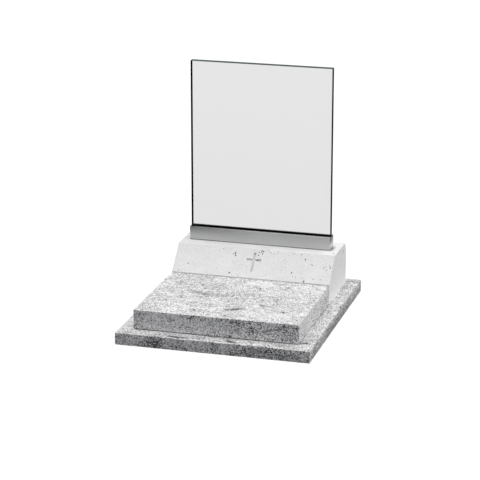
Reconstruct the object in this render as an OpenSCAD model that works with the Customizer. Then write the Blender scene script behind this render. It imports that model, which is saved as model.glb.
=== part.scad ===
// Urn grave monument: a granite ground plate carries a thicker granite cover slab at the front and
// a cast concrete plinth behind it. The plinth's sloped face has a recessed cross, and a clamp rail
// screwed to its flat top holds an upright pane of glass between two rubber gaskets.
// Millimetres. The origin is the centre of the ground plate's underside, +Z is up, -Y is the front.

/* [Ground plate] */
// Thickness of the ground plate
base_t = 43; // [30:0.5:80]
// Plate left free on each side of the slab and plinth
side_margin = 51; // [20:1:120]
// Plate left free in front of the cover slab
front_margin = 54.5; // [20:0.5:150]
// Plate left free behind the plinth
back_margin = 38; // [20:1:150]

/* [Cover slab] */
// Width that the cover slab and the plinth share
body_w = 598; // [420:1:900]
// Depth of the cover slab, front to back
slab_d = 442.5; // [300:0.5:700]
// Thickness of the cover slab
slab_t = 68; // [40:0.5:100]
// Arris worked on the edges of the granite
stone_arris = 0.5; // [0.5:0.5:4]

/* [Joints in the masonry] */
// Height of the bed joint under the cover slab
bed_t = 3; // [1:0.5:5]
// Width of each strip of the bed joint
bed_w = 30; // [15:1:60]
// How far the bed joint is raked back from the stone's face
joint_rake = 3; // [1:0.5:6]
// Width of the upright joint between the slab and the plinth
joint_w = 3; // [1:0.5:5]
// How far the upright joint lies below the top of the slab
joint_dip = 0.5; // [0.5:0.5:5]

/* [Plinth] */
// Height of the plinth above the ground plate
plinth_h = 159.5; // [145:0.5:240]
// Depth of the plinth at its foot
plinth_d = 270; // [240:1:400]
// Upright strip of the plinth's front that shows above the slab
plinth_upstand = 1; // [0.5:0.5:6]
// Angle of the sloped front face, from level
slope_angle = 45; // [40:1:55]
// Depth of the bevel along the top back edge
bevel_d = 23; // [5:1:30]
// Height of the bevel along the top back edge
bevel_h = 29; // [5:1:40]
// Arris on the cast edges
cast_arris = 1.5; // [0.5:0.5:4]

/* [Cross] */
// Height of the cross, up the slope
cross_h = 81; // [50:1:90]
// Width across the arms
cross_w = 56; // [30:1:90]
// Width of each bar
cross_bar = 9; // [5:0.5:16]
// Height of the arms' centre line above the foot of the cross
cross_arm_up = 50.5; // [30:0.5:60]
// Gap between the foot of the slope and the foot of the cross
cross_foot_up = 26; // [8:1:40]
// Depth of the recess
cross_depth = 3; // [1:0.5:6]

/* [Clamp rail] */
// Distance from the top of the slope to the rail's front
rail_front_gap = 47.5; // [20:0.5:70]
// Distance from each end of the plinth to the rail's end
rail_end_gap = 29; // [10:1:120]
// Height of the rail
rail_h = 47.5; // [45:0.5:90]
// Thickness of the rail's upright walls
rail_wall = 7; // [4:0.5:8]
// Thickness of the rail's floor
rail_floor = 11; // [9:0.5:16]
// Thickness of the sealing strip under the rail
rail_bed_t = 3; // [1:0.5:4]
// Thickness of each end cap
cap_t = 2.5; // [2:0.5:6]
// Distance between the three anchor screws
anchor_pitch = 200; // [150:5:220]
// Diameter of the anchor's shank
anchor_d = 10; // [8:1:12]
// Diameter of the anchor's countersunk head
anchor_head_d = 20; // [16:1:22]
// Length of the anchor below the rail
anchor_len = 70; // [50:5:100]

/* [Glass and gaskets] */
// Height of the glass sheet, with what stands in the rail
glass_h = 661; // [400:0.5:900]
// Thickness of the glass
glass_t = 21.5; // [12:0.5:32]
// Polished arris on the glass
glass_arris = 1; // [0.5:0.5:3]
// Gap between the glass and each end cap
glass_end_gap = 0.3; // [0.3:0.1:3]
// Thickness of the gasket between the glass and the rail's wall
gasket_t = 4.25; // [3:0.25:8]
// Depth of the gaskets in the rail
gasket_depth = 22; // [16:1:28]
// How far the gaskets stand above the rail where they meet the glass
gasket_proud = 0.5; // [0.5:0.5:6]
// Length of each setting block
block_len = 80; // [50:5:100]
// Height of each setting block
block_h = 6; // [4:1:8]

/* [Hidden] */
$fn = 48;

// Ground plate: the slab, the joint and the plinth in a row, with the margins round them
base_w = body_w + 2 * side_margin;
base_d = front_margin + slab_d + joint_w + plinth_d + back_margin;

// Levels
slab_z = base_t + bed_t;
slab_top = slab_z + slab_t;
slope_z = slab_top + plinth_upstand;
plinth_top = base_t + plinth_h;
rail_z = plinth_top + rail_bed_t;
rail_top = rail_z + rail_h;
floor_z = rail_z + rail_floor;
glass_z = floor_z + block_h;

// Front-to-back positions
slab_y = front_margin - base_d / 2;
slab_back = slab_y + slab_d;
plinth_y = slab_back + joint_w;
plinth_back = plinth_y + plinth_d;
slope_top_y = plinth_y + (plinth_top - slope_z) / tan(slope_angle);

// Clamp rail
slot_w = glass_t + 2 * gasket_t;
rail_w = slot_w + 2 * rail_wall;
rail_y = slope_top_y + rail_front_gap + rail_w / 2;
rail_len = body_w - 2 * rail_end_gap - 2 * cap_t;
groove_h = 4;
groove_d = 1.5;
groove_down = 9;
rail_ease = 0.4;
anchor_fit = 0.5;
head_down = 1;
head_h = (anchor_head_d - anchor_d) / 2;
bore_extra = 2;

// Glass
glass_w = rail_len - 2 * glass_end_gap;

// Strips of the bed joint
bed_len = body_w - 2 * joint_rake;
bed_side_d = slab_d - 2 * joint_rake - 2 * bed_w;

// Plinth's section, clockwise from the front foot
plinth_section = [
    [plinth_y, base_t], [plinth_y, slope_z], [slope_top_y, plinth_top],
    [plinth_back - bevel_d, plinth_top], [plinth_back, plinth_top - bevel_h],
    [plinth_back, base_t]
];

// A point on the way from p to q, d away from p
function along(p, q, d) = p + (q - p) * d / norm(q - p);

// The outline with every corner cut off by e, but for the two corners at its foot
function eased(pts, e) = [
    for (i = [0 : len(pts) - 1])
        each (i == 0 || i == len(pts) - 1
            ? [pts[i]]
            : [along(pts[i], pts[i - 1], e), along(pts[i], pts[i + 1], e)])
];

// A rectangle's outline, clockwise from the front foot
function box_section(y, z, d, h) = [[y, z], [y, z + h], [y + d, z + h], [y + d, z]];

// Draws a section in Y and Z, and runs it along X about the middle
module along_x(length) {
    rotate([90, 0, 90]) linear_extrude(height = length, center = true) children();
}

// The wedge that eases the edge from p to q at the right-hand end
module end_cut(p, q, length, e) {
    reach = 4 * norm(q - p) + 200;
    translate([length / 2, p[0], p[1]])
        rotate([atan2(q[1] - p[1], q[0] - p[0]), 0, 0])
            rotate([0, 45, 0])
                translate([-reach, -reach, -e / sqrt(2)])
                    cube([2 * reach, 2 * reach, reach]);
}

// A block with arrises on all edges but those of its foot
module dressed_block(pts, length, e) {
    difference() {
        along_x(length) polygon(eased(pts, e));
        for (s = [0, 1], i = [0 : len(pts) - 2])
            mirror([s, 0, 0]) end_cut(pts[i], pts[i + 1], length, e);
    }
}

// Places what is drawn on the sloped face: Y runs up the slope and Z stands out of it
module on_slope() {
    translate([0, plinth_y, slope_z]) rotate([slope_angle, 0, 0]) children();
}

// The shape of the cross, sunk into the face
module cross_recess() {
    on_slope() translate([0, cross_foot_up, -cross_depth]) {
        translate([-cross_bar / 2, 0, 0]) cube([cross_bar, cross_h, 2 * cross_depth]);
        translate([-cross_w / 2, cross_arm_up - cross_bar / 2, 0])
            cube([cross_w, cross_bar, 2 * cross_depth]);
    }
}

// Repeats its child at each anchor
module at_anchors() {
    for (i = [-1 : 1]) translate([i * anchor_pitch, rail_y, 0]) children();
}

module base_plate() {
    color("dimgray") dressed_block(
        box_section(-base_d / 2, 0, base_d, base_t), base_w, stone_arris);
}

module bed_strip(x, y, w, d) {
    color("darkslategray") translate([x, y, base_t]) cube([w, d, bed_t]);
}

module slab_bed_front() {
    bed_strip(-bed_len / 2, slab_y + joint_rake, bed_len, bed_w);
}

module slab_bed_back() {
    bed_strip(-bed_len / 2, slab_back - joint_rake - bed_w, bed_len, bed_w);
}

module slab_bed_left() {
    bed_strip(-bed_len / 2, slab_y + joint_rake + bed_w, bed_w, bed_side_d);
}

module slab_bed_right() {
    bed_strip(bed_len / 2 - bed_w, slab_y + joint_rake + bed_w, bed_w, bed_side_d);
}

module cover_slab() {
    color("lightgray") dressed_block(
        box_section(slab_y, slab_z, slab_d, slab_t), body_w, stone_arris);
}

module slab_plinth_joint() {
    color("darkslategray") translate([-bed_len / 2, slab_back, base_t])
        cube([bed_len, joint_w, slab_top - joint_dip - base_t]);
}

module plinth_block() {
    color("whitesmoke") difference() {
        dressed_block(plinth_section, body_w, cast_arris);
        cross_recess();
        at_anchors() translate([0, 0, rail_z - anchor_len - bore_extra])
            cylinder(h = anchor_len + 2 * bore_extra, d = anchor_d);
    }
}

module rail_bed() {
    color("gray") difference() {
        translate([-rail_len / 2, rail_y - rail_w / 2 + 1, plinth_top])
            cube([rail_len, rail_w - 2, rail_bed_t]);
        at_anchors() translate([0, 0, plinth_top - 1])
            cylinder(h = rail_bed_t + 2, d = anchor_d + anchor_fit);
    }
}

// The rail's section: an upright channel with eased outer corners, a gasket groove in each wall
// and a chamfer where the walls meet the floor
module rail_section() {
    out = rail_w / 2;
    in = slot_w / 2;
    half = [
        [out, rail_z], [out, rail_top - rail_ease], [out - rail_ease, rail_top], [in, rail_top],
        [in, rail_top - groove_down], [in + groove_d, rail_top - groove_down],
        [in + groove_d, rail_top - groove_down - groove_h], [in, rail_top - groove_down - groove_h],
        [in, floor_z + 1], [in - 1, floor_z]
    ];
    n = len(half) - 1;
    translate([rail_y, 0]) polygon(concat(half, [for (i = [n : -1 : 0]) [-half[i][0], half[i][1]]]));
}

module clamp_rail() {
    color("silver") difference() {
        along_x(rail_len) rail_section();
        at_anchors() {
            translate([0, 0, rail_z - 1]) cylinder(h = rail_floor + 2, d = anchor_d + anchor_fit);
            translate([0, 0, floor_z - head_down - head_h])
                cylinder(h = head_h, d1 = anchor_d, d2 = anchor_head_d);
            translate([0, 0, floor_z - head_down]) cylinder(h = head_down + 1, d = anchor_head_d);
        }
    }
}

// An end cap: a plate over the rail's end with a tongue that drops into the channel
module rail_cap(side) {
    color("silver") translate([side * rail_len / 2, rail_y, 0]) {
        translate([side > 0 ? 0 : -cap_t, 0, 0]) translate([cap_t / 2, 0, 0])
            along_x(cap_t) polygon([
                [-rail_w / 2, rail_z], [-rail_w / 2, rail_top - rail_ease],
                [-rail_w / 2 + rail_ease, rail_top], [rail_w / 2 - rail_ease, rail_top],
                [rail_w / 2, rail_top - rail_ease], [rail_w / 2, rail_z]
            ]);
        translate([side > 0 ? -8 : 0, -slot_w / 2 + 2, floor_z]) cube([8, slot_w - 4, block_h - 1]);
    }
}

module rail_cap_left() rail_cap(-1);
module rail_cap_right() rail_cap(1);

// A countersunk anchor screw with a six-sided drive socket
module rail_anchor(i) {
    color("lightsteelblue") translate([i * anchor_pitch, rail_y, 0]) difference() {
        union() {
            translate([0, 0, rail_z - anchor_len]) cylinder(h = anchor_len + rail_floor - head_down,
                d = anchor_d);
            translate([0, 0, floor_z - head_down - head_h])
                cylinder(h = head_h, d1 = anchor_d, d2 = anchor_head_d);
        }
        translate([0, 0, floor_z - head_down - 4]) cylinder(h = 5, d = 7, $fn = 6);
    }
}

module rail_anchor_left() rail_anchor(-1);
module rail_anchor_mid() rail_anchor(0);
module rail_anchor_right() rail_anchor(1);

// A setting block stands under the glass a quarter of the way in
module setting_block(side) {
    color("dimgray") translate([side * glass_w / 4 - block_len / 2, rail_y - glass_t / 2, floor_z])
        cube([block_len, glass_t, block_h]);
}

module setting_block_left() setting_block(-1);
module setting_block_right() setting_block(1);

// A gasket's section, on the back of the glass: a flat strip with a barb in the rail's groove and
// a lip that leans on the glass above the rail
module gasket_section() {
    g0 = glass_t / 2;
    g1 = slot_w / 2;
    barb = groove_d - 0.3;
    top = rail_top - groove_down;
    polygon([
        [g0, rail_top - gasket_depth], [g0, rail_top + gasket_proud],
        [g0 + 1.2, rail_top + gasket_proud], [g1, rail_top], [g1, top - 0.2],
        [g1 + barb, top - 0.2], [g1 + barb, top - groove_h + 1.6], [g1, top - groove_h + 0.2],
        [g1, rail_top - gasket_depth + 3], [g1 - 1.5, rail_top - gasket_depth]
    ]);
}

module gasket(side) {
    color("black") translate([0, rail_y, 0]) mirror([0, side > 0 ? 0 : 1, 0])
        along_x(rail_len) gasket_section();
}

module gasket_front() gasket(-1);
module gasket_back() gasket(1);

module glass_pane() {
    color("lightcyan", 0.5) dressed_block(
        box_section(rail_y - glass_t / 2, glass_z, glass_t, glass_h), glass_w, glass_arris);
}

base_plate();
slab_bed_front();
slab_bed_back();
slab_bed_left();
slab_bed_right();
cover_slab();
slab_plinth_joint();
plinth_block();
rail_bed();
clamp_rail();
rail_cap_left();
rail_cap_right();
rail_anchor_left();
rail_anchor_mid();
rail_anchor_right();
setting_block_left();
setting_block_right();
gasket_front();
gasket_back();
glass_pane();
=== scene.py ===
"""Urn grave monument: granite plate and cover slab, cast plinth, clamp rail and glass pane."""

import math

import bmesh
import bpy
from bpy.props import FloatProperty, FloatVectorProperty, IntProperty, PointerProperty
from mathutils import Matrix, Vector


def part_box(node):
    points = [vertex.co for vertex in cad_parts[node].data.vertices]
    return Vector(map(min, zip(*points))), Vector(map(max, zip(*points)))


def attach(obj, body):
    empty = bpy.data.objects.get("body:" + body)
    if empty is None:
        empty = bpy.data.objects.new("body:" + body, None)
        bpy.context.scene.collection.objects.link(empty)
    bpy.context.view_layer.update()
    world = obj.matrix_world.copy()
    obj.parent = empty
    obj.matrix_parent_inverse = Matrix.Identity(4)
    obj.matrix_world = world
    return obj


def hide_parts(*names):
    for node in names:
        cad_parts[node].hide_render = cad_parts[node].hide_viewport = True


bl_info = {
    "name": "Urn grave monument",
    "version": (1, 0, 0),
    "blender": (4, 5, 0),
    "location": "3D View > Sidebar > Monument",
    "description": "Finishes the stone, concrete, metal and glass of an urn grave monument",
    "category": "Add Mesh",
}

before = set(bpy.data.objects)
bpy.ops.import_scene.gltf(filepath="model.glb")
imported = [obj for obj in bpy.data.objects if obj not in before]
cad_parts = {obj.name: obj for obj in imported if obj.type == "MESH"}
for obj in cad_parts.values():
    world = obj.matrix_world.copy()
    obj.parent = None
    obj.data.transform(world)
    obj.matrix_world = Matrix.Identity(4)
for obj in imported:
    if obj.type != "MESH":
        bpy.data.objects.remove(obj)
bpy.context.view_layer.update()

MM = 0.001

# Where the pieces are, read from the frame
PLINTH_LOW, PLINTH_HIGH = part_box("plinth_block")
SLAB_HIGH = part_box("cover_slab")[1]
PLATE_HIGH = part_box("base_plate")[1]
RAIL_LOW, RAIL_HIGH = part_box("clamp_rail")
GLASS_LOW, GLASS_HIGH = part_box("glass_pane")

# The slope starts at the plinth's front and rises at 45 degrees to its flat top
SLOPE_FOOT_Z = SLAB_HIGH[2] + 1 * MM
SLOPE_ANGLE = math.radians(45)

# Index of refraction of stone, cement skin, rubber and the glass edges
DENSE_INDEX = 1.5

# Nearly all values of a noise texture lie in this range
NOISE_RANGE = {"From Min": 0.3, "From Max": 0.7}


# ---------------------------------------------------------------- settings

def linear(code):
    """The linear colour of an sRGB hex code."""
    channels = [int(code[i:i + 2], 16) / 255 for i in (0, 2, 4)]
    return tuple(c / 12.92 if c <= 0.04045 else ((c + 0.055) / 1.055) ** 2.4 for c in channels)


def opaque(colour):
    """The colour with a full alpha after it."""
    return (*colour[:3], 1.0)


def tint(name, description, code):
    """A setting for a colour, with an sRGB hex code for its default."""
    return FloatVectorProperty(name=name, description=description, subtype="COLOR",
                               default=linear(code), min=0.0, max=1.0)


def length(name, description, default, low, high):
    """A setting for a length, with its default and its limits in millimetres."""
    return FloatProperty(name=name, description=description, default=default * MM,
                         min=low * MM, max=high * MM, precision=4, unit="LENGTH")


def share(name, description, default, high=1.0):
    """A setting for a share of a whole."""
    return FloatProperty(name=name, description=description, default=default, min=0.0,
                         max=high, subtype="FACTOR")


# ---------------------------------------------------------------- nodes

def add(tree, kind, inputs=None, stops=(), **settings):
    """Adds a node with its settings. An input gets a value, or a link from a socket or from a
    node's first output. The stops are a colour ramp's positions and colours."""
    made = tree.nodes.new(kind)
    for name, value in settings.items():
        setattr(made, name, value)
    for name, value in (inputs or {}).items():
        if isinstance(value, bpy.types.Node):
            value = value.outputs[0]
        if isinstance(value, bpy.types.NodeSocket):
            tree.links.new(value, made.inputs[name])
        else:
            made.inputs[name].default_value = value
    if stops:
        ramp = made.color_ramp
        while len(ramp.elements) < len(stops):
            ramp.elements.new(1.0)
        for element, (position, colour) in zip(ramp.elements, stops):
            element.position = position
            element.color = opaque(colour)
    return made


def wander(tree, place, scale, detail, reach):
    """The place, moved about by a noise: along each axis by up to half the reach."""
    shift = add(tree, "ShaderNodeTexNoise", {"Vector": place, "Scale": scale, "Detail": detail})
    shift = add(tree, "ShaderNodeVectorMath", {
        0: shift.outputs["Color"], 1: (0.5, 0.5, 0.5)}, operation="SUBTRACT")
    return add(tree, "ShaderNodeVectorMath", {
        0: shift, 1: (reach, reach, reach), 2: place}, operation="MULTIPLY_ADD")


def ball(tree, place, centre, half, turn=0.0):
    """1 in the middle of an ellipsoid with these half axes, and falling to 0 at its edge."""
    inside = add(tree, "ShaderNodeMapping", {
        "Vector": place, "Location": centre, "Rotation": (0.0, 0.0, turn), "Scale": half},
        vector_type="TEXTURE")
    return add(tree, "ShaderNodeTexGradient", {"Vector": inside},
               gradient_type="SPHERICAL").outputs[1]


def upwards(tree):
    """1 on a level face that looks up, 0 on an upright one."""
    normal = add(tree, "ShaderNodeNewGeometry").outputs["Normal"]
    return add(tree, "ShaderNodeSeparateXYZ", {"Vector": normal}).outputs["Z"]


def per_metre(millimetres):
    """The texture scale that repeats every so many millimetres."""
    return 1.0 / (millimetres * MM)


def new_material(name):
    """An empty material and its node tree."""
    material = bpy.data.materials.new(name)
    material.use_nodes = True
    material.node_tree.nodes.clear()
    return material, material.node_tree


# ---------------------------------------------------------------- objects

def paint(obj, *materials):
    """Gives the object these materials, first slot first."""
    obj.data.materials.clear()
    for material in materials:
        obj.data.materials.append(material)


def paint_nodes(nodes, material):
    """Gives these CAD nodes the material."""
    for node in nodes:
        paint(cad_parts[node], material)


def mesh_object(name, mesh):
    """A new object in the scene for this mesh."""
    obj = bpy.data.objects.new(name, mesh)
    bpy.context.scene.collection.objects.link(obj)
    return obj


# ---------------------------------------------------------------- granite

# Dark schlieren in the slab and the plate, light ones with a negative strength, and three bands of
# # painted shade on the plate: centre, half length, half width and half depth in mm, turn about Z
# # in degrees, strength
SCHLIEREN_AND_SHADE = [
    ((-130, -108, 113), (80, 20, 40), -29, 0.5),
    ((-205, -20, 113), (50, 12, 40), -20, 0.35),
    ((-20, -104, 113), (130, 16, 40), 6, 0.3),
    ((40, -248, 113), (50, 12, 30), 30, 1.9),
    ((133, -186, 113), (32, 10, 20), -7, 1.0),
    ((214, -236, 113), (22, 11, 20), 0, 1.2),
    ((-112, -207, 113), (18, 10, 20), 0, 0.5),
    ((-99, -289, 113), (22, 9, 20), 0, 0.7),
    ((261, -129, 113), (18, 10, 20), 0, 0.4),
    ((60, 44, 113), (95, 34, 30), 0, -0.5),
    ((285, 40, 113), (40, 70, 30), 0, -0.4),
    ((-85, -105, 113), (60, 40, 30), -20, 0.28),
    ((-20, -125, 113), (40, 35, 30), 0, 0.25),
    ((-85, -300, 113), (60, 32, 30), 0, 0.3),
    ((10, -290, 113), (30, 30, 30), 0, 0.2),
    ((-5, 55, 113), (40, 45, 30), 0, 0.32),
    ((125, 60, 113), (34, 44, 30), 0, 0.35),
    ((0, -65, 113), (45, 40, 30), 0, 0.3),
    ((-110, -45, 113), (30, 30, 30), 0, 0.25),
    ((282, -84, 113), (26, 44, 30), 0, 0.3),
    ((-145, -180, 113), (55, 44, 30), 0, -0.42),
    ((-150, -250, 113), (32, 28, 30), 0, -0.3),
    ((150, -166, 113), (32, 26, 30), 0, -0.4),
    ((205, 45, 113), (48, 40, 30), 0, -0.36),
    ((205, -270, 113), (60, 36, 30), 0, -0.36),
    ((80, -335, 113), (60, 25, 12), 0, -0.22),
    ((-175, -290, 113), (35, 30, 30), 0, -0.2),
    ((-90, -349, 104), (16, 20, 14), 0, 0.8),
    ((-163, -349, 86), (20, 20, 14), 0, 0.5),
    ((-170, -349, 80), (150, 26, 46), 0, -0.2),
    ((84, -349, 100), (34, 22, 22), 0, 0.35),
    ((126, -349, 80), (30, 20, 10), 0, 0.3),
    ((245, -349, 80), (70, 22, 40), 0, 0.5),
    ((-100, -349, 70), (40, 22, 24), 0, 0.2),
    ((-214, -404, 18), (52, 34, 34), 0, 0.75),
    ((-140, -404, 22), (60, 34, 30), 0, 0.3),
    ((-334, -404, 22), (40, 34, 30), 0, 0.15),
    ((110, -404, 16), (60, 34, 30), 12, 0.32),
    ((185, -404, 24), (90, 34, 30), 0, 0.55),
    ((280, -404, 22), (60, 34, 30), 0, 0.35),
    ((40, -404, 22), (20, 30, 34), 30, -0.4),
    # Painted shade along the plate's front, darker towards its foot
    ((0, -404, 8), (420, 14, 34), 0, 0.22),
    ((-130, -388, 43), (48, 12, 14), 0, 1.8),
    ((165, -388, 43), (36, 14, 10), 0, -0.5),
    ((240, -378, 43), (40, 16, 10), 0, 0.5),
    ((-235, -388, 43), (36, 16, 10), 0, 0.3),
    ((67, -384, 43), (30, 12, 14), -20, 1.8),
    ((318, -330, 43), (36, 9, 14), 5, 1.5),
    ((318, 372, 43), (44, 36, 10), 0, 0.5),
    # Painted shadow of the slab on the plate's top in front of it
    ((0, -380, 42), (460, 30, 10), 0, 0.1),
    # Painted shade over the plate's right side
    ((350, 0, 12), (14, 800, 40), 0, 1.0),
]

# What a strength of 1 adds in the middle of a streak, and the reach of the noise on its outline
SCHLIEREN_WEIGHT = 1.6
SCHLIEREN_BLUR = 22 * MM

# How far the outline of a grain wanders, in widths of a grain
GRAIN_WANDER = 0.8

# How far full darkness moves the draw that picks a grain's mineral, towards mica
MICA_SHIFT = -0.42


def granite(name, settings):
    """Fine-grained granite, sawn and honed: white feldspar, grey quartz and black mica, with
    wisps where the mica lies thicker. To the eye, a salt-and-pepper grey with a dull sheen."""
    material, tree = new_material(name)
    place = add(tree, "ShaderNodeTexCoord").outputs["Object"]

    # Crystals with bent outlines, drawn a little coarser than real ones of 1 to 2 mm, to show
    per_grain = 1.0 / settings.grain
    bent = wander(tree, place, per_grain, detail=1.0, reach=GRAIN_WANDER * settings.grain)
    grains = add(tree, "ShaderNodeTexVoronoi", {
        "Vector": bent, "Scale": per_grain, "Randomness": 1.0})
    draws = add(tree, "ShaderNodeSeparateColor", {"Color": grains.outputs["Color"]}).outputs

    # Clouds a hand's breadth across, and wisps drawn out along the slab's width
    clouds = add(tree, "ShaderNodeTexNoise", {
        "Vector": place, "Scale": per_metre(90), "Detail": 4.0, "Roughness": 0.6})
    drawn = add(tree, "ShaderNodeMapping", {
        "Vector": place, "Rotation": (0.0, 0.0, math.radians(14)), "Scale": (0.32, 1.0, 1.0)})
    wisps = add(tree, "ShaderNodeTexNoise", {
        "Vector": drawn, "Scale": 1.0 / settings.wisp, "Detail": 5.0, "Roughness": 0.62,
        "Distortion": 1.1})
    ridge = add(tree, "ShaderNodeMath", {0: wisps, 1: 0.5}, operation="SUBTRACT")
    ridge = add(tree, "ShaderNodeMath", {0: ridge}, operation="ABSOLUTE")
    vein = add(tree, "ShaderNodeMapRange", {
        "Value": ridge, "From Max": 0.035, "To Min": 1.0, "To Max": 0.0},
        interpolation_type="SMOOTHSTEP")
    broken = add(tree, "ShaderNodeMapRange", {
        "Value": clouds, "From Min": 0.5, "From Max": 0.64})
    vein = add(tree, "ShaderNodeMath", {0: vein, 1: broken}, operation="MULTIPLY")

    # Threads of mica, a few grains thick, that run along the slab
    drawn = add(tree, "ShaderNodeMapping", {
        "Vector": bent, "Rotation": (0.0, 0.0, math.radians(8)),
        "Scale": (per_metre(42), per_metre(9), per_metre(30))})
    threads = add(tree, "ShaderNodeTexNoise", {"Vector": drawn, "Scale": 1.0, "Detail": 2.0})

    # The placed schlieren and bands of painted shade, with blurred outlines, and everything else
    # that is darker or lighter
    blurred = wander(tree, place, per_metre(25), detail=3.0, reach=SCHLIEREN_BLUR)
    dark = 0.0
    for centre, half, turn, strength in SCHLIEREN_AND_SHADE:
        spot = ball(tree, blurred, [c * MM for c in centre], [h * MM for h in half],
                    math.radians(turn))
        dark = add(tree, "ShaderNodeMath", {
            0: spot, 1: strength * SCHLIEREN_WEIGHT, 2: dark}, operation="MULTIPLY_ADD")
    dark = add(tree, "ShaderNodeMath", {0: vein, 1: 0.6, 2: dark}, operation="MULTIPLY_ADD")
    for layer in (clouds, threads):
        shade = add(tree, "ShaderNodeMapRange", {
            "Value": layer, **NOISE_RANGE, "To Min": -0.25, "To Max": 0.25})
        dark = add(tree, "ShaderNodeMath", {0: dark, 1: shade}, operation="ADD")
    dark = add(tree, "ShaderNodeClamp", {"Value": dark, "Min": -0.5, "Max": 1.3})

    # Where the stone is dark, more of its grains are mica
    pick = add(tree, "ShaderNodeMath", {0: dark, 1: MICA_SHIFT, 2: draws[0]},
               operation="MULTIPLY_ADD")
    colour = add(tree, "ShaderNodeValToRGB", {"Fac": pick}, stops=[
        (0.26, settings.mica), (0.31, settings.quartz), (0.36, settings.pale_quartz),
        (0.42, settings.feldspar)])
    specks = add(tree, "ShaderNodeTexNoise", {
        "Vector": place, "Scale": per_metre(1.6), "Detail": 2.0})
    tone = add(tree, "ShaderNodeMapRange", {
        "Value": specks, "From Min": 0.25, "From Max": 0.65, "To Min": 0.7, "To Max": 1.1})
    colour = add(tree, "ShaderNodeVectorMath", {0: colour, 1: tone}, operation="MULTIPLY")

    # Mica polishes duller than feldspar, and the saw leaves a faint grain-deep relief
    rough = add(tree, "ShaderNodeMapRange", {
        "Value": draws[1], "To Min": 0.42, "To Max": 0.58})
    relief = add(tree, "ShaderNodeBump", {
        "Strength": 0.25, "Distance": 0.15 * MM, "Height": draws[0]})
    shader = add(tree, "ShaderNodeBsdfPrincipled", {
        "Base Color": colour, "Roughness": rough, "IOR": DENSE_INDEX, "Normal": relief})
    add(tree, "ShaderNodeOutputMaterial", {"Surface": shader})
    return material


class GraniteWork(bpy.types.PropertyGroup):
    """Grain and colours of the ground plate and the cover slab"""

    grain: length("Grain", "Width of one crystal", 2.2, 1, 10)
    wisp: length("Wisp", "Distance between the dark wisps", 95, 20, 400)
    feldspar: tint("Feldspar", "Colour of the whitest grains", "EFEFEF")
    pale_quartz: tint("Pale quartz", "Colour of the pale grey grains", "CBCBCC")
    quartz: tint("Quartz", "Colour of the middle grey grains", "8C8D90")
    mica: tint("Mica", "Colour of the darkest grains", "242629")


class MONUMENT_OT_dress_granite(bpy.types.Operator):
    """Finish the ground plate and the cover slab in grey granite"""

    bl_idname = "monument.dress_granite"
    bl_label = "Dress the granite"

    def execute(self, context):
        paint_nodes(("base_plate", "cover_slab"),
                    granite("honed_grey_granite", context.scene.granite_work))
        return {"FINISHED"}


# ---------------------------------------------------------------- joints

BED_JOINTS = (
    "slab_bed_front", "slab_bed_back", "slab_bed_left", "slab_bed_right", "slab_plinth_joint")

# Index of refraction of cured sealant
SEALANT_INDEX = 1.45


def sealant(name, colour, settings):
    """Cured joint sealant, tooled by hand: a dull, slightly uneven rubber skin with some dust
    in it. To the eye, an even dark line."""
    material, tree = new_material(name)
    place = add(tree, "ShaderNodeTexCoord").outputs["Object"]
    dust = add(tree, "ShaderNodeTexNoise", {
        "Vector": place, "Scale": per_metre(7), "Detail": 4.0})
    colour = add(tree, "ShaderNodeValToRGB", {"Fac": dust}, stops=[
        (0.3, [c * 0.75 for c in colour]), (0.75, [c * 1.5 for c in colour])])
    skin = add(tree, "ShaderNodeTexNoise", {
        "Vector": place, "Scale": per_metre(2.5), "Detail": 2.0})
    relief = add(tree, "ShaderNodeBump", {
        "Strength": 0.3, "Distance": 0.3 * MM, "Height": skin})
    shader = add(tree, "ShaderNodeBsdfPrincipled", {
        "Base Color": colour, "Roughness": settings.sealant_roughness, "IOR": SEALANT_INDEX,
        "Normal": relief})
    add(tree, "ShaderNodeOutputMaterial", {"Surface": shader})
    return material


class JointWork(bpy.types.PropertyGroup):
    """Colours and gloss of the joints and the glazing rubber"""

    bed: tint("Bed joint", "Colour of the joints between the stones", "1E1F20")
    rail: tint("Rail joint", "Colour of the sealing strip under the rail", "777879")
    rubber: tint("Glazing rubber", "Colour of the gaskets", "0A0A0B")
    block: tint("Setting block", "Colour of the blocks under the glass", "1E1E20")
    sealant_roughness: share("Sealant roughness", "Roughness of the cured sealant", 0.7)


class MONUMENT_OT_fill_joints(bpy.types.Operator):
    """Fill the joints between the stones and under the rail"""

    bl_idname = "monument.fill_joints"
    bl_label = "Fill the joints"

    def execute(self, context):
        settings = context.scene.joint_work
        paint_nodes(BED_JOINTS, sealant("stone_joint_sealant", settings.bed, settings))
        paint_nodes(["rail_bed"], sealant("rail_joint_sealant", settings.rail, settings))
        return {"FINISHED"}


# ---------------------------------------------------------------- plinth

# Larger air pores on the slope: across from the middle, up the slope, radius, in mm. Some open
# in a row, where bubbles rose along the mould
SLOPE_PORES = [
    (-81, 96, 1.9), (-75, 101, 2.0), (-74, 97, 2.2), (-72, 89, 2.6), (-74, 61, 1.4),
    (-81, 16, 3.0), (-245, 39, 2.2), (-276, 9, 1.9), (-123, 113, 1.4), (-47, 8, 1.5),
    (15, 110, 2.1), (14, 97, 2.4), (24, 118, 2.2),
    (23, 112, 2.2), (30, 114, 2.9), (28, 105, 2.4), (48, 121, 1.8), (57, 113, 1.8),
    (86, 115, 1.4), (111, 45, 1.5), (124, 57, 1.3),
    (151, 37, 2.9), (174, 115, 2.0), (192, 98, 2.3), (192, 93, 1.8), (218, 78, 1.4),
    (223, 75, 1.9), (202, 5, 2.9), (202, 9, 2.0), (269, 71, 1.8), (265, 66, 1.5),
    (278, 59, 1.9), (290, 73, 2.1), (290, 68, 1.7), (286, 79, 1.5), (233, 19, 1.6),
    (195, 19, 1.4), (145, 116, 1.5), (157, 23, 1.3),
]
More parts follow.
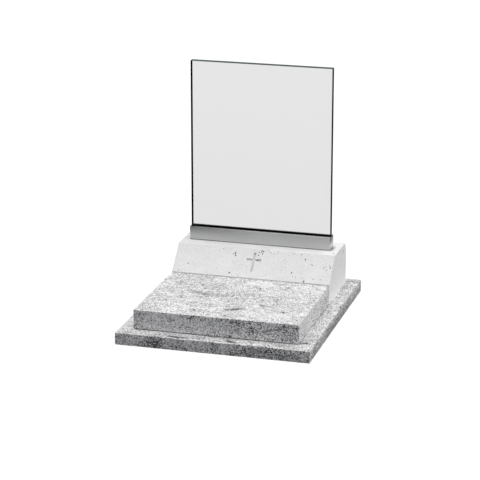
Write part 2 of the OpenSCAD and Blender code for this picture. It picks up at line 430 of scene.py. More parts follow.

# Pores in the floor of the cross, in the same measures. Those at its top and in rows along its
# # arms, with their dark lining, paint the shade under the recess's upper walls
CROSS_PORES = [
    (-3, 102, 1.6), (2, 100, 1.6), (0, 104, 1.2), (13, 77, 2.3), (17, 78, 1.4), (22, 78, 1.3),
    (25, 75, 1.4), (8, 77, 0.9), (-8, 77, 0.9), (-13, 76, 1.2), (-18, 78, 1.2), (-24, 76, 1.2),
]

# One pore on the plinth's top, and some near the top of its right side: place and radius in mm
CORNER_PORES = [
    (288, 204, 202.5, 3.0), (299, 322, 177, 3.0), (299, 305, 175, 2.1), (299, 254, 197, 2.0),
    (299, 236, 194, 2.0),
]

# Depth of the cross, half the width of the strip that it lies in, and the depths under the
# slope between which the middle of a face belongs to its floor or its walls
CROSS_DEPTH = 3 * MM
CROSS_ZONE = 35 * MM
RECESS_DEPTHS = (0.3 * MM, 5 * MM)

# Scattered pores stay this far from the rail and the plate, and from the joint in front
PORE_MARGIN = 4 * MM
JOINT_MARGIN = 3 * MM

# Points of the CAD mesh that are closer than this are one, and faces that turn less are flat
WELD_DISTANCE = 0.01 * MM
FLAT_ANGLE = math.radians(0.5)

# The painted shadow by the rail's right foot: how far its middle lies right of the rail and
# behind the rail's front, and its half axes
FOOT_SHADOW_OFFSET = (4 * MM, 30 * MM)
FOOT_SHADOW_SIZE = (11 * MM, 44 * MM, 20 * MM)

# The painted shade on level faces fades out between these distances from the rail's right end, and
# stays out beyond it
LEVEL_SHADE_END = (35 * MM, 5 * MM)

# A bubble's largest turn about each axis in radians, the range of its stretches, and the power
# of the draw for its radius, which makes most bubbles small
BUBBLE_TURN = (6.283, 6.283, 6.283)
BUBBLE_STRETCH = ((0.75, 0.75, 0.75), (1.25, 1.25, 1.25))
SIZE_POWER = 4.0


def concrete(name, settings, colour, cloud_depth):
    """White fair-faced concrete: cement skin from a smooth mould, faintly clouded where it
    dried unevenly, matt and fine to the touch. Its level faces are darkened as painted shade,
    except at the right end, which is painted lighter, up to a painted shadow by the rail. The
    darker colours given for the pores and the cross make painted shade in those hollows."""
    material, tree = new_material(name)
    place = add(tree, "ShaderNodeTexCoord").outputs["Object"]

    # Clouds, and the mottle of the sand, drawn coarser than its grains, which are too fine to show
    clouds = add(tree, "ShaderNodeTexNoise", {
        "Vector": place, "Scale": 1.0 / settings.cloud, "Detail": 5.0, "Roughness": 0.6})
    sand = add(tree, "ShaderNodeTexNoise", {
        "Vector": place, "Scale": per_metre(4.5), "Detail": 4.0, "Roughness": 0.75})
    cloudy = add(tree, "ShaderNodeMapRange", {
        "Value": clouds, **NOISE_RANGE, "To Min": 1.0 - cloud_depth})
    sandy = add(tree, "ShaderNodeMapRange", {
        "Value": sand, "From Min": 0.25, "From Max": 0.75, "To Min": 0.78, "To Max": 1.14})

    # Painted shade on level faces, which fades out before the rail's right end so that end is
    # painted lighter, and the painted shadow by the rail's right foot
    level = add(tree, "ShaderNodeMapRange", {
        "Value": upwards(tree), "From Min": 0.85, "From Max": 0.98, "To Max": settings.dust})
    spot = add(tree, "ShaderNodeSeparateXYZ", {"Vector": place}).outputs
    level_shade_reach = add(tree, "ShaderNodeMapRange", {
        "Value": spot["X"], "From Min": RAIL_HIGH[0] - LEVEL_SHADE_END[0],
        "From Max": RAIL_HIGH[0] - LEVEL_SHADE_END[1], "To Min": 1.0, "To Max": 0.0})
    dust = add(tree, "ShaderNodeMath", {0: level, 1: level_shade_reach}, operation="MULTIPLY")
    stain = ball(tree, place, (RAIL_HIGH[0] + FOOT_SHADOW_OFFSET[0], RAIL_LOW[1] + FOOT_SHADOW_OFFSET[1],
                               PLINTH_HIGH[2]), FOOT_SHADOW_SIZE)
    dust = add(tree, "ShaderNodeMath", {0: stain, 1: settings.stain, 2: dust},
               operation="MULTIPLY_ADD")
    clean = add(tree, "ShaderNodeMath", {0: 1.0, 1: dust}, operation="SUBTRACT")
    tone = add(tree, "ShaderNodeMath", {0: cloudy, 1: sandy}, operation="MULTIPLY")
    tone = add(tree, "ShaderNodeMath", {0: tone, 1: clean}, operation="MULTIPLY")
    colour = add(tree, "ShaderNodeVectorMath", {0: colour, 1: tone}, operation="MULTIPLY")
    rough = add(tree, "ShaderNodeMapRange", {
        "Value": clouds, **NOISE_RANGE, "To Min": 0.72, "To Max": 0.85})
    relief = add(tree, "ShaderNodeBump", {
        "Strength": 0.4, "Distance": 0.25 * MM, "Height": sand})
    shader = add(tree, "ShaderNodeBsdfPrincipled", {
        "Base Color": colour, "Roughness": rough, "IOR": DENSE_INDEX, "Normal": relief})
    add(tree, "ShaderNodeOutputMaterial", {"Surface": shader})
    return material


def slope_point(across, up, depth=0.0):
    """The point at these distances in metres from the middle of the slope's foot, and as deep
    as given under the sloped face."""
    run, rise = math.cos(SLOPE_ANGLE), math.sin(SLOPE_ANGLE)
    return Vector((across, PLINTH_LOW[1] + up * run + depth * rise,
                   SLOPE_FOOT_Z + up * rise - depth * run))


def marked_pores():
    """A mesh with one loose vertex for each marked pore, and its radius in an attribute."""
    pores = [(slope_point(x * MM, up * MM), r) for x, up, r in SLOPE_PORES]
    pores += [(slope_point(x * MM, up * MM, CROSS_DEPTH), r) for x, up, r in CROSS_PORES]
    pores += [(Vector((x, y, z)) * MM, r) for x, y, z, r in CORNER_PORES]
    mesh = bpy.data.meshes.new("marked_pores")
    mesh.from_pydata([place for place, _ in pores], [], [])
    radius = mesh.attributes.new("pore_radius", "FLOAT", "POINT")
    radius.data.foreach_set("value", [r * MM for _, r in pores])
    return mesh_object("marked_pores", mesh)


def pore_tree():
    """Sinks air pores into a block: scattered ones, and one at each marked point. Gives the
    node tree, and the identifier of each of its named inputs."""
    tree = bpy.data.node_groups.new("air_pores", "GeometryNodeTree")
    tree.is_modifier = True
    identifiers = {}
    for name, kind in (
            ("Geometry", "Geometry"), ("Marked pores", "Object"),
            ("Pores per square metre", "Float"), ("Smallest radius", "Float"),
            ("Largest radius", "Float"), ("Rail middle", "Float"),
            ("Rail half width", "Float"), ("Lowest pore", "Float"),
            ("Foremost pore", "Float"), ("Seed", "Int"), ("Skin", "Material"),
            ("Lining", "Material")):
        identifiers[name] = tree.interface.new_socket(
            name, in_out="INPUT", socket_type="NodeSocket" + kind).identifier
    tree.interface.new_socket("Geometry", in_out="OUTPUT", socket_type="NodeSocketGeometry")
    given = add(tree, "NodeGroupInput").outputs

    # Scattered pores, but none under the rail, below the plate's top or in the front joint
    scatter = add(tree, "GeometryNodeDistributePointsOnFaces", {
        "Mesh": given["Geometry"], "Density": given["Pores per square metre"],
        "Seed": given["Seed"]})
    spot = add(tree, "GeometryNodeInputPosition")
    spot = add(tree, "ShaderNodeSeparateXYZ", {"Vector": spot}).outputs
    aside = add(tree, "ShaderNodeMath", {0: spot["Y"], 1: given["Rail middle"]},
                operation="SUBTRACT")
    aside = add(tree, "ShaderNodeMath", {0: aside}, operation="ABSOLUTE")
    hidden = add(tree, "ShaderNodeMath", {0: aside, 1: given["Rail half width"]},
                 operation="LESS_THAN")
    for axis, limit in (("Z", "Lowest pore"), ("Y", "Foremost pore")):
        beyond = add(tree, "ShaderNodeMath", {0: spot[axis], 1: given[limit]},
                     operation="LESS_THAN")
        hidden = add(tree, "ShaderNodeMath", {0: hidden, 1: beyond}, operation="MAXIMUM")
    seen = add(tree, "GeometryNodeDeleteGeometry", {
        "Geometry": scatter, "Selection": hidden}, domain="POINT")
    draw = add(tree, "FunctionNodeRandomValue", {"Seed": given["Seed"]}, data_type="FLOAT")
    draw = add(tree, "ShaderNodeMath", {0: draw.outputs[1], 1: SIZE_POWER},
               operation="POWER")
    radius = add(tree, "ShaderNodeMapRange", {
        "Value": draw, "To Min": given["Smallest radius"], "To Max": given["Largest radius"]})
    sized = add(tree, "GeometryNodeStoreNamedAttribute", {
        "Geometry": seen, "Name": "pore_radius", "Value": radius},
        data_type="FLOAT", domain="POINT")
    marks = add(tree, "GeometryNodeObjectInfo", {"Object": given["Marked pores"]})
    marks = add(tree, "GeometryNodeMeshToPoints", {"Mesh": marks.outputs["Geometry"]})
    points = add(tree, "GeometryNodeJoinGeometry")
    for part in (sized, marks):
        tree.links.new(part.outputs[0], points.inputs[0])

    # A bubble at each point, turned and stretched its own way, and cut out of the block
    bubble = add(tree, "GeometryNodeMeshIcoSphere", {"Radius": 1.0, "Subdivisions": 2})
    turn = add(tree, "FunctionNodeRandomValue", {
        0: (0.0, 0.0, 0.0), 1: BUBBLE_TURN, "Seed": given["Seed"]}, data_type="FLOAT_VECTOR")
    stretch = add(tree, "FunctionNodeRandomValue", {
        0: BUBBLE_STRETCH[0], 1: BUBBLE_STRETCH[1], "Seed": given["Seed"]},
        data_type="FLOAT_VECTOR")
    own = add(tree, "GeometryNodeInputNamedAttribute", {"Name": "pore_radius"},
              data_type="FLOAT")
    scale = add(tree, "ShaderNodeVectorMath", {0: stretch, "Scale": own}, operation="SCALE")
    bubbles = add(tree, "GeometryNodeInstanceOnPoints", {
        "Points": points, "Instance": bubble, "Rotation": turn, "Scale": scale})
    bubbles = add(tree, "GeometryNodeRealizeInstances", {"Geometry": bubbles})
    bubbles = add(tree, "GeometryNodeSetMaterial", {
        "Geometry": bubbles, "Material": given["Lining"]})
    solid = add(tree, "GeometryNodeSetMaterial", {
        "Geometry": given["Geometry"], "Material": given["Skin"]})
    cut = add(tree, "GeometryNodeMeshBoolean", {
        "Mesh 1": solid, "Mesh 2": bubbles, "Self Intersection": True},
        operation="DIFFERENCE", solver="EXACT")
    whole = add(tree, "GeometryNodeRealizeInstances", {"Geometry": cut})
    on_skin = add(tree, "GeometryNodeMaterialSelection", {"Material": given["Skin"]})
    dressed = add(tree, "GeometryNodeSetMaterial", {
        "Geometry": whole, "Selection": on_skin, "Material": given["Skin"]})
    add(tree, "NodeGroupOutput", {"Geometry": dressed})
    return tree, identifiers


class PlinthWork(bpy.types.PropertyGroup):
    """Air pores and colours of the cast plinth"""

    pore_density: FloatProperty(
        name="Pores", description="Scattered air pores in a square metre of face",
        default=900.0, min=0.0, max=4000.0)
    smallest_pore: length("Smallest pore", "Radius of the smallest air pore", 0.4, 0.1, 3)
    largest_pore: length(
        "Largest pore", "Radius of the largest scattered air pore", 1.7, 0.2, 5)
    pore_seed: IntProperty(
        name="Pore seed", description="Number that picks where the pores fall", default=11,
        min=0)
    cloud: length(
        "Cloud", "Distance between the faint clouds in the cement skin", 70, 10, 500)
    skin: tint("Cement skin", "Colour of the concrete", "F0F0EF")
    # The pore lining's dark colour is painted shade inside the pores
    lining: tint("Pore lining", "Colour of the concrete inside the pores", "2A2A2A")
    # The cross's concrete is greyer as painted shade in its recess
    recess_shade: tint("Shaded recess", "Colour of the concrete in the cross", "DEDEDE")
    # Dust is painted shade on level faces, and stain is the painted shadow by the rail's right
    # foot
    dust: share("Dust", "What dust takes off the colour of level faces", 0.09, 0.5)
    stain: share("Stain", "What the run-off from the rail's right end takes off", 0.7)


class MONUMENT_OT_cast_plinth(bpy.types.Operator):
    """Cast the plinth with its recessed cross and its air pores"""

    bl_idname = "monument.cast_plinth"
    bl_label = "Cast the plinth"

    def execute(self, context):
        settings = context.scene.plinth_work
        skin = concrete("white_cast_concrete", settings, settings.skin, cloud_depth=0.08)
        # Painted shade: the pores' lining is a near-black copy of the concrete
        lining = concrete("shaded_pore_lining", settings, settings.lining, cloud_depth=0.25)
        recess_shade = concrete("shaded_recess_concrete", settings, settings.recess_shade, cloud_depth=0.12)
        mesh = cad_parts["plinth_block"].data.copy()
        mesh.name = "cast_plinth"
        shape = bmesh.new()
        shape.from_mesh(mesh)
        bmesh.ops.remove_doubles(shape, verts=shape.verts, dist=WELD_DISTANCE)
        bmesh.ops.dissolve_limit(shape, angle_limit=FLAT_ANGLE, verts=shape.verts,
                                 edges=shape.edges)
        shape.to_mesh(mesh)
        shape.free()
        mesh.materials.clear()
        plinth = mesh_object("cast_plinth", mesh)
        marks = marked_pores()
        pores = plinth.modifiers.new("Air pores", "NODES")
        pores.node_group, identifiers = pore_tree()
        for name, value in {
                "Marked pores": marks, "Pores per square metre": settings.pore_density,
                "Smallest radius": settings.smallest_pore,
                "Largest radius": settings.largest_pore,
                "Rail middle": (RAIL_LOW[1] + RAIL_HIGH[1]) / 2,
                "Rail half width": (RAIL_HIGH[1] - RAIL_LOW[1]) / 2 + PORE_MARGIN,
                "Lowest pore": PLATE_HIGH[2] + PORE_MARGIN,
                "Foremost pore": PLINTH_LOW[1] + JOINT_MARGIN, "Seed": settings.pore_seed,
                "Skin": skin, "Lining": lining}.items():
            pores[identifiers[name]] = value
        baked = bpy.data.meshes.new_from_object(
            plinth.evaluated_get(context.evaluated_depsgraph_get()))
        plinth.modifiers.remove(pores)
        plinth.data = baked
        bpy.data.objects.remove(marks)

        # The cross's recess gets a greyer copy of the concrete: painted shade in the recess
        baked.materials.append(recess_shade)
        foot, outward = slope_point(0.0, 0.0), Vector((0.0, -math.sin(SLOPE_ANGLE),
                                                       math.cos(SLOPE_ANGLE)))
        for polygon in baked.polygons:
            polygon.use_smooth = False
            depth = (foot - polygon.center).dot(outward)
            moulded = baked.materials[polygon.material_index] == skin
            if (moulded and abs(polygon.center.x) < CROSS_ZONE
                    and RECESS_DEPTHS[0] < depth < RECESS_DEPTHS[1]):
                polygon.material_index = len(baked.materials) - 1
        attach(plinth, "root")
        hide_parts("plinth_block")
        return {"FINISHED"}


# ---------------------------------------------------------------- rail

# The end caps: how many times as strong as the rail's painted reflection theirs is, the shares
# of the rail's height between which it fades in, and what painted shade takes off at their foot
CAP_PAINTED_REFLECTION = 3.1
CAP_REACH = (0.3, 0.72)
CAP_PAINTED_FOOT_SHADE = 0.38

# How many times as strong the painted reflection is on level metal as at the rail's top
LEVEL_PAINTED_REFLECTION = 1.2

# Length of a brush line in mm, and how far the roughness strays from line to line
BRUSH_LENGTH = 90
ROUGHNESS_STRAY = 0.04


def brushed_metal(name, colour, roughness, streak, relief, film=(0.0, 0.0), reach=(0.0, 1.0),
                  splash=0.0):
    """Metal with fine lines. The rail is an aluminium profile, belt-brushed along its length
    and clear anodised: hair-fine scratches run its way and pull its reflections out across
    them. Its colour is darkened as a painted reflection: most at the top of its walls, least
    at the foot and most at the left end, and on its level faces. The film is what this painted
    reflection takes off the colour, along most of the rail's top and at the top of its left
    end, and it fades in over the reach, in shares of the rail's height. Splash is what painted
    shade takes off at the very foot. The anchors are turned steel, and clean."""
    material, tree = new_material(name)
    place = add(tree, "ShaderNodeTexCoord").outputs["Object"]

    # Real brush lines are a tenth of a millimetre apart, too fine to show, so these are coarser
    drawn = add(tree, "ShaderNodeMapping", {
        "Vector": place, "Scale": (per_metre(BRUSH_LENGTH), 1.0 / streak, 1.0 / streak)})
    hairs = add(tree, "ShaderNodeTexNoise", {
        "Vector": drawn, "Scale": 1.0, "Detail": 3.0, "Roughness": 0.6})
    broad = add(tree, "ShaderNodeTexNoise", {
        "Vector": place, "Scale": per_metre(120), "Detail": 2.0})

    # The painted reflection, stronger up the walls and towards the left end, the painted shade at
    # the foot and the painted reflection on level faces
    spot = add(tree, "ShaderNodeSeparateXYZ", {"Vector": place}).outputs
    height = add(tree, "ShaderNodeMapRange", {
        "Value": spot["Z"], "From Min": RAIL_LOW[2], "From Max": RAIL_HIGH[2]})
    top = add(tree, "ShaderNodeMapRange", {
        "Value": spot["X"], "From Min": RAIL_LOW[0], "From Max": 0.0,
        "To Min": 1.0 - film[1], "To Max": 1.0 - film[0]})
    painted_reflection_fade = add(tree, "ShaderNodeMapRange", {
        "Value": height, "From Min": reach[0], "From Max": reach[1], "To Min": 1.0,
        "To Max": top})
    # Painted shade: darker at the very foot, standing in for the contact shadow there
    painted_foot_shade = add(tree, "ShaderNodeMapRange", {
        "Value": height, "From Min": 0.05, "From Max": 0.32, "To Min": 1.0 - splash})
    level = add(tree, "ShaderNodeMapRange", {
        "Value": upwards(tree), "From Min": 0.8, "From Max": 0.95, "To Min": 1.0,
        "To Max": 1.0 - LEVEL_PAINTED_REFLECTION * film[0]})
    tone = add(tree, "ShaderNodeMapRange", {"Value": hairs, **NOISE_RANGE, "To Min": 0.9})
    for layer in (painted_reflection_fade, painted_foot_shade, level):
        tone = add(tree, "ShaderNodeMath", {0: tone, 1: layer}, operation="MULTIPLY")
    colour = add(tree, "ShaderNodeVectorMath", {0: colour, 1: tone}, operation="MULTIPLY")

    fine = add(tree, "ShaderNodeMapRange", {
        "Value": hairs, **NOISE_RANGE, "To Min": roughness - ROUGHNESS_STRAY,
        "To Max": roughness + ROUGHNESS_STRAY})
    coarse = add(tree, "ShaderNodeMapRange", {
        "Value": broad, **NOISE_RANGE, "To Min": -0.02, "To Max": 0.02})
    rough = add(tree, "ShaderNodeMath", {0: fine, 1: coarse}, operation="ADD")
    scratches = add(tree, "ShaderNodeBump", {
        "Strength": 0.3, "Distance": relief, "Height": hairs})
    shader = add(tree, "ShaderNodeBsdfPrincipled", {
        "Base Color": colour, "Metallic": 1.0, "Roughness": rough, "Normal": scratches})
    add(tree, "ShaderNodeOutputMaterial", {"Surface": shader})
    return material


class RailWork(bpy.types.PropertyGroup):
    """Finish of the clamp rail and its fixings"""

    aluminium: tint("Aluminium", "Colour of the anodised rail", "C3C4C4")
    cap: tint("End cap", "Colour of the end caps", "D2D3D3")
    # The film settings are painted reflection: what they take off darkens the rail towards its top
    # and its left end
    film: share("Film", "What the film at the rail's top takes off its colour", 0.25, 0.8)
    left_painted_reflection: share("Film at the left", "What the film takes off at the top left end", 0.76)
    steel: tint("Steel", "Colour of the anchor screws", "C4C3C1")
    rail_roughness: share("Rail roughness", "Roughness of the brushed rail", 0.36)
    cap_roughness: share("Cap roughness", "Roughness of the end caps", 0.42)
    streak: length(
        "Brush line", "Distance between the broadest brush lines, across them", 1.2, 0.1, 5)


class MONUMENT_OT_fit_rail(bpy.types.Operator):
    """Finish the clamp rail, its end caps and its anchors"""

    bl_idname = "monument.fit_rail"
    bl_label = "Fit the rail"

    def execute(self, context):
        settings = context.scene.rail_work
        # The film values paint reflection on the rail and its caps, and the caps' splash paints
        # shade at their foot
        paint_nodes(["clamp_rail"], brushed_metal(
            "brushed_anodised_aluminium", settings.aluminium, settings.rail_roughness,
            settings.streak, relief=0.05 * MM, film=(settings.film, settings.left_painted_reflection)))
        paint_nodes(("rail_cap_left", "rail_cap_right"), brushed_metal(
            "brushed_cap_aluminium", settings.cap, settings.cap_roughness, streak=2.0 * MM,
            relief=0.05 * MM, film=(CAP_PAINTED_REFLECTION * settings.film, settings.left_painted_reflection),
            reach=CAP_REACH, splash=CAP_PAINTED_FOOT_SHADE))
        paint_nodes(("rail_anchor_left", "rail_anchor_mid", "rail_anchor_right"), brushed_metal(
            "turned_stainless_steel", settings.steel, roughness=0.3, streak=0.4 * MM,
            relief=0.02 * MM))
        return {"FINISHED"}


# ---------------------------------------------------------------- glazing

# Index of refraction of the pane, matched to how far its edges show behind its face
PANE_INDEX = 1.05


def rubber(name, colour, roughness, grain):
    """Extruded EPDM or moulded nylon in black: almost no colour, and a faint bloom on the skin
    that changes every so many millimetres of grain."""
    material, tree = new_material(name)
    place = add(tree, "ShaderNodeTexCoord").outputs["Object"]
    bloom = add(tree, "ShaderNodeTexNoise", {
        "Vector": place, "Scale": per_metre(grain), "Detail": 3.0})
    colour = add(tree, "ShaderNodeValToRGB", {"Fac": bloom}, stops=[
        (0.3, [c * 0.8 for c in colour]), (0.8, [c * 1.4 for c in colour])])
    relief = add(tree, "ShaderNodeBump", {
        "Strength": 0.2, "Distance": 0.1 * MM, "Height": bloom})
    shader = add(tree, "ShaderNodeBsdfPrincipled", {
        "Base Color": colour, "Roughness": roughness, "IOR": DENSE_INDEX,
        "Specular IOR Level": 0.05, "Normal": relief})
    add(tree, "ShaderNodeOutputMaterial", {"Surface": shader})
    return material


class MONUMENT_OT_press_gaskets(bpy.types.Operator):
    """Finish the gaskets and the setting blocks that hold the glass"""

    bl_idname = "monument.press_gaskets"
    bl_label = "Press in the gaskets"

    def execute(self, context):
        settings = context.scene.joint_work
        paint_nodes(("gasket_front", "gasket_back"),
                    rubber("black_glazing_rubber", settings.rubber, roughness=0.6, grain=6))
        paint_nodes(("setting_block_left", "setting_block_right"),
                    rubber("black_nylon_block", settings.block, roughness=0.45, grain=3))
        return {"FINISHED"}


def clear_glass(name, settings):
    """Thick laminate of float glass with coated faces: colourless, almost free of reflections,
    and it takes off a little of the light that comes through, and more at its foot, where rain
    splashes dust on it."""
    material, tree = new_material(name)
    place = add(tree, "ShaderNodeTexCoord").outputs["Object"]
    spot = add(tree, "ShaderNodeSeparateXYZ", {"Vector": place}).outputs
    clean = add(tree, "ShaderNodeMapRange", {
        "Value": spot["Z"], "From Min": RAIL_HIGH[2], "From Max": GLASS_HIGH[2],
        "To Min": 1.0 - settings.veil})
    colour = add(tree, "ShaderNodeVectorMath", {0: settings.face, 1: clean},
                 operation="MULTIPLY")
    shader = add(tree, "ShaderNodeBsdfPrincipled", {
        "Base Color": colour, "Roughness": 0.0, "IOR": PANE_INDEX,
        "Transmission Weight": 1.0})
    add(tree, "ShaderNodeOutputMaterial", {"Surface": shader})
    return material


def glass_edge(name, settings):
    """Polished edge of thick float glass, dark green. Its darkness is painted shade, and along
    the top it is painted lighter, as painted light from above. Seen from inside it is painted
    nearly black, as painted shade."""
    material, tree = new_material(name)
    place = add(tree, "ShaderNodeTexCoord").outputs["Object"]
    streaks = add(tree, "ShaderNodeTexNoise", {
        "Vector": place, "Scale": per_metre(30), "Detail": 2.0})
    tone = add(tree, "ShaderNodeMapRange", {
        "Value": streaks, **NOISE_RANGE, "To Min": 0.85, "To Max": 1.15})
    # Painted light: faces that look up get the lighter top colour
    colour = add(tree, "ShaderNodeValToRGB", {"Fac": upwards(tree)}, stops=[
        (0.3, settings.edge), (0.9, settings.top_edge)])
    colour = add(tree, "ShaderNodeVectorMath", {0: colour, 1: tone}, operation="MULTIPLY")
    outside = add(tree, "ShaderNodeBsdfPrincipled", {
        "Base Color": colour, "Roughness": settings.edge_roughness, "IOR": DENSE_INDEX,
        "Specular IOR Level": 0.0})
    # Painted shade: seen from inside, the edges are near-black
    inside = add(tree, "ShaderNodeBsdfDiffuse", {"Color": opaque(settings.depth)})
    shader = add(tree, "ShaderNodeMixShader", {
        0: add(tree, "ShaderNodeNewGeometry").outputs["Backfacing"], 1: outside, 2: inside})
    add(tree, "ShaderNodeOutputMaterial", {"Surface": shader})
    return material


class GlassWork(bpy.types.PropertyGroup):
    """Shape and colours of the glass pane"""

    arris: length("Arris", "Width of the polished arris on each edge", 1.7, 0.2, 4)
    face: tint("Face", "What the glass leaves of the light that crosses it", "DDDDDD")
    veil: share("Veil", "What dust takes off the light at the foot of the glass", 0.036, 0.5)
    # The edge colours are painted shade, the top edge a lighter copy as painted light, and the
    # edge depth a near-black painted shade
    edge: tint("Edge", "Colour of the polished side edges", "28302B")
    top_edge: tint("Top edge", "Colour of the polished top edge", "59645C")
    depth: tint("Edge depth", "Colour of the edges seen through the glass", "050605")
    edge_roughness: share("Edge roughness", "Roughness of the polished edges", 0.15)


class MONUMENT_OT_set_glass(bpy.types.Operator):
    """Set the glass pane with its polished edges"""

    bl_idname = "monument.set_glass"
    bl_label = "Set the glass"

    def execute(self, context):
        settings = context.scene.glass_work
        low, high = Vector(GLASS_LOW), Vector(GLASS_HIGH)
        shape = bmesh.new()
        bmesh.ops.create_cube(shape, size=1.0, matrix=Matrix.Translation((low + high) / 2)
                              @ Matrix.Diagonal((*(high - low), 1.0)))
        bmesh.ops.bevel(shape, geom=shape.edges[:], offset=settings.arris, segments=2,
                        profile=0.5, affect="EDGES", clamp_overlap=True)
        mesh = bpy.data.meshes.new("glass_sheet")
        shape.to_mesh(mesh)
        shape.free()
        sheet = mesh_object("glass_sheet", mesh)
        paint(sheet, clear_glass("clear_float_glass", settings),
              glass_edge("polished_glass_edge", settings))
        half_area = 0.5 * (high.x - low.x) * (high.z - low.z)
        for face in mesh.polygons:
            face.material_index = 0 if face.area > half_area else 1
        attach(sheet, "root")
        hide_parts("glass_pane")
        return {"FINISHED"}


# ---------------------------------------------------------------- stage

# The floor's distance under the plate, its grey, and the glow that makes it look white
FLOOR_GAP = 0.5 * MM
FLOOR_GREY = "8E8E8E"
FLOOR_GLOW = 0.78

# Where the light of each lamp comes from, and how far away the lamps stand
TOP_SIDE = Vector((0.0, -0.06, 1.0))
RIGHT_SIDE = Vector((1.0, 0.0, 0.02))
LAMP_DISTANCE = 4.0

# Width of the film in millimetres, and the camera's place and turn
FILM_WIDTH = 36.0
CAMERA_PLACE = (1.86009, -6.60761, 2.41762)
CAMERA_TURN = (math.radians(72.785), 0.0, math.radians(15.804))

WHITE = (1.0, 1.0, 1.0, 1.0)


class StageWork(bpy.types.PropertyGroup):
    """Floor, lamps and camera"""

    floor: FloatProperty(
        name="Floor", description="Length and width of the floor", default=60.0, min=5.0,
        max=500.0, unit="LENGTH")
    sky: FloatProperty(
        name="Sky", description="Strength of the light from all round", default=0.1, min=0.0,
        max=3.0)
    sky_colour: tint("Sky colour", "Colour of the light from all round", "D2D8FF")
    top_lamp: FloatProperty(
        name="Top lamp", description="Strength of the soft lamp overhead", default=3.0,
        min=0.0, max=20.0)
    side_lamp: FloatProperty(
        name="Side lamp", description="Strength of the soft lamp on the right", default=2.82,
        min=0.0, max=20.0)
    lamp_colour: tint("Lamp colour", "Colour of both lamps", "FFFEFC")
    lamp_spread: FloatProperty(
        name="Lamp spread", description="Angle that each soft lamp fills",
        default=math.radians(80), min=0.0, max=math.pi, subtype="ANGLE")
    bounce: tint("Floor bounce", "What the floor gives back to the object", "383838")
    lens: FloatProperty(
        name="Lens", description="Focal length in millimetres for a 36 mm film", default=150.0,
        min=10.0, max=400.0)


def seen_plainly(tree):
    """1 for the camera and for what glass and metal show, 0 for light that falls on things."""
    path = add(tree, "ShaderNodeLightPath").outputs
    seen = path["Is Camera Ray"]
    for kind in ("Is Glossy Ray", "Is Transmission Ray"):
        seen = add(tree, "ShaderNodeMath", {0: seen, 1: path[kind]}, operation="MAXIMUM")
    return seen


def white_floor(settings):
    """A matt white studio floor. It looks white with the object's shadow on it, and gives back
    little light, as a floor does that falls away on all sides."""
    material, tree = new_material("white_studio_floor")
    grey = add(tree, "ShaderNodeBsdfDiffuse", {"Color": opaque(linear(FLOOR_GREY))})
    glow = add(tree, "ShaderNodeEmission", {"Color": WHITE, "Strength": FLOOR_GLOW})
    shown = add(tree, "ShaderNodeAddShader", {0: grey, 1: glow})
    given_back = add(tree, "ShaderNodeBsdfDiffuse", {"Color": opaque(settings.bounce)})
    shader = add(tree, "ShaderNodeMixShader", {
        0: seen_plainly(tree), 1: given_back, 2: shown})
    add(tree, "ShaderNodeOutputMaterial", {"Surface": shader})
    return material


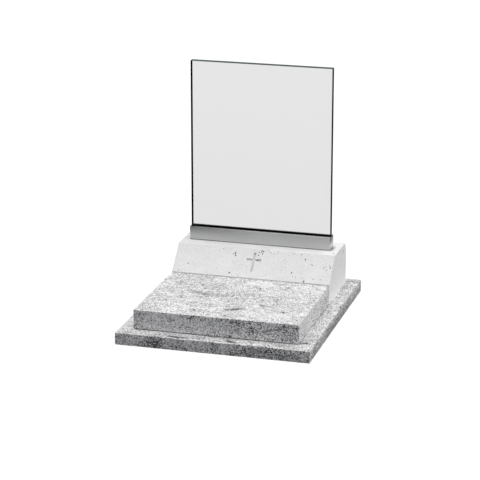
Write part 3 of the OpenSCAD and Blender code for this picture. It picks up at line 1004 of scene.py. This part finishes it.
class MONUMENT_OT_set_stage(bpy.types.Operator):
    """Lay the floor and place the lamps and the camera"""

    bl_idname = "monument.set_stage"
    bl_label = "Set the stage"

    def execute(self, context):
        scene = context.scene
        settings = scene.stage_work
        half = settings.floor / 2
        mesh = bpy.data.meshes.new("studio_floor")
        mesh.from_pydata([(x, y, -FLOOR_GAP) for x, y in (
            (-half, -half), (half, -half), (half, half), (-half, half))], [], [(0, 1, 2, 3)])
        floor = mesh_object("studio_floor", mesh)
        paint(floor, white_floor(settings))

        world = bpy.data.worlds.new("studio_sky")
        world.use_nodes = True
        tree = world.node_tree
        tree.nodes.clear()
        light = add(tree, "ShaderNodeBackground", {
            "Color": opaque(settings.sky_colour), "Strength": settings.sky})
        white = add(tree, "ShaderNodeBackground", {"Color": WHITE, "Strength": 1.0})
        mixed = add(tree, "ShaderNodeMixShader", {
            0: seen_plainly(tree), 1: light, 2: white})
        add(tree, "ShaderNodeOutputWorld", {"Surface": mixed})
        scene.world = world

        for name, strength, side in (("top_lamp", settings.top_lamp, TOP_SIDE),
                                     ("side_lamp", settings.side_lamp, RIGHT_SIDE)):
            lamp = bpy.data.lights.new(name, "SUN")
            lamp.energy = strength
            lamp.color = settings.lamp_colour
            lamp.angle = settings.lamp_spread
            holder = bpy.data.objects.new(name, lamp)
            holder.rotation_euler = side.to_track_quat("Z", "Y").to_euler()
            holder.location = side * LAMP_DISTANCE
            scene.collection.objects.link(holder)

        camera = bpy.data.cameras.new("camera")
        camera.lens = settings.lens
        camera.sensor_width = FILM_WIDTH
        viewer = bpy.data.objects.new("camera", camera)
        viewer.location = CAMERA_PLACE
        viewer.rotation_euler = CAMERA_TURN
        scene.collection.objects.link(viewer)
        scene.camera = viewer
        scene.view_settings.view_transform = "Standard"
        return {"FINISHED"}


# ---------------------------------------------------------------- panel

STEPS = ("dress_granite", "fill_joints", "cast_plinth", "fit_rail", "press_gaskets",
         "set_glass", "set_stage")

GROUPS = {
    "granite_work": GraniteWork, "joint_work": JointWork, "plinth_work": PlinthWork,
    "rail_work": RailWork, "glass_work": GlassWork, "stage_work": StageWork,
}


class MONUMENT_PT_steps(bpy.types.Panel):
    """Sizes, colours and steps of the monument"""

    bl_idname = "MONUMENT_PT_steps"
    bl_label = "Urn grave monument"
    bl_space_type = "VIEW_3D"
    bl_region_type = "UI"
    bl_category = "Monument"

    def draw(self, context):
        for group, kind in GROUPS.items():
            box = self.layout.box()
            box.label(text=kind.__doc__)
            for name in kind.__annotations__:
                box.prop(getattr(context.scene, group), name)
        for step in STEPS:
            self.layout.operator("monument." + step)


CLASSES = (
    *GROUPS.values(), MONUMENT_OT_dress_granite, MONUMENT_OT_fill_joints,
    MONUMENT_OT_cast_plinth, MONUMENT_OT_fit_rail, MONUMENT_OT_press_gaskets,
    MONUMENT_OT_set_glass, MONUMENT_OT_set_stage, MONUMENT_PT_steps,
)


def register():
    for kind in CLASSES:
        bpy.utils.register_class(kind)
    for group, kind in GROUPS.items():
        setattr(bpy.types.Scene, group, PointerProperty(type=kind))


def unregister():
    for group in GROUPS:
        delattr(bpy.types.Scene, group)
    for kind in reversed(CLASSES):
        bpy.utils.unregister_class(kind)


def main():
    """Runs every step in order."""
    register()
    for step in STEPS:
        getattr(bpy.ops.monument, step)()


if __name__ == "__main__":
    main()
